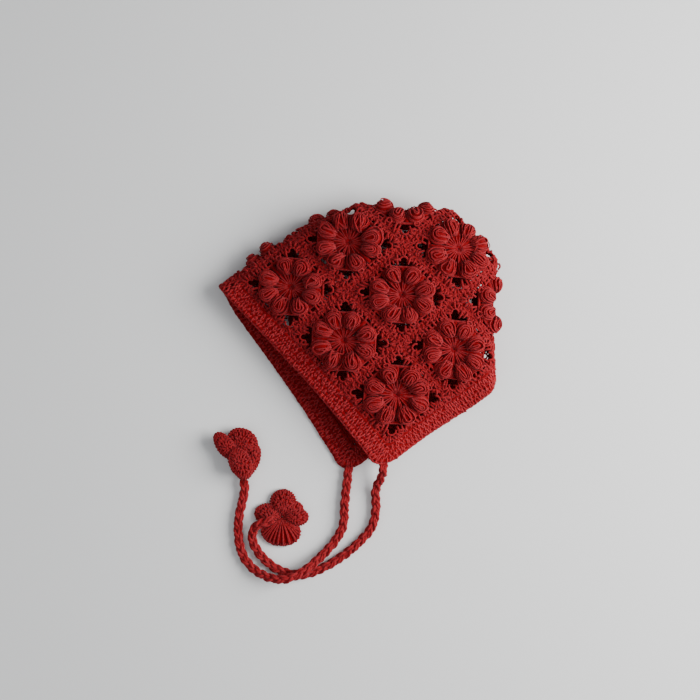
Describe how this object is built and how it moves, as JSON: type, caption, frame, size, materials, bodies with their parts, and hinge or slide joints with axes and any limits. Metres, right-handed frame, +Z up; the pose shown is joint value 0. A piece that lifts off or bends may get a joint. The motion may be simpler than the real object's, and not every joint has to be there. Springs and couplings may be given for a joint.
{
  "type": "baby knit hat",
  "caption": "Crocheted baby bonnet of joined puff-flower squares with a plain border and braided ties that end in crocheted flowers, lying flat on its side.",
  "frame": {"origin": "on the surface the bonnet lies on, under the middle of the bonnet without its ties", "axes": "+X from the top of the head towards the neck opening, +Y from the face opening to the back of the head, +Z up from the surface"},
  "size_m": [0.2077, 0.2802, 0.0495],
  "materials": {
    "red_yarn": "soft matt wool yarn, slightly fuzzy"
  },
  "bodies": {
    "root": {"upper_front_square_1": "red_yarn", "upper_front_square_2": "red_yarn", "upper_front_square_3": "red_yarn", "upper_middle_square_1": "red_yarn", "upper_middle_square_2": "red_yarn", "upper_middle_square_3": "red_yarn", "upper_rear_square": "red_yarn", "lower_front_square_1": "red_yarn", "lower_front_square_2": "red_yarn", "lower_front_square_3": "red_yarn", "lower_middle_square_1": "red_yarn", "lower_middle_square_2": "red_yarn", "lower_middle_square_3": "red_yarn", "lower_rear_square": "red_yarn", "crown_square": "red_yarn", "nape_square": "red_yarn", "border": "red_yarn", "lower_tie": "red_yarn", "upper_tie": "red_yarn", "bud_flower": "red_yarn", "open_flower": "red_yarn"}
  },
  "joints": []
}
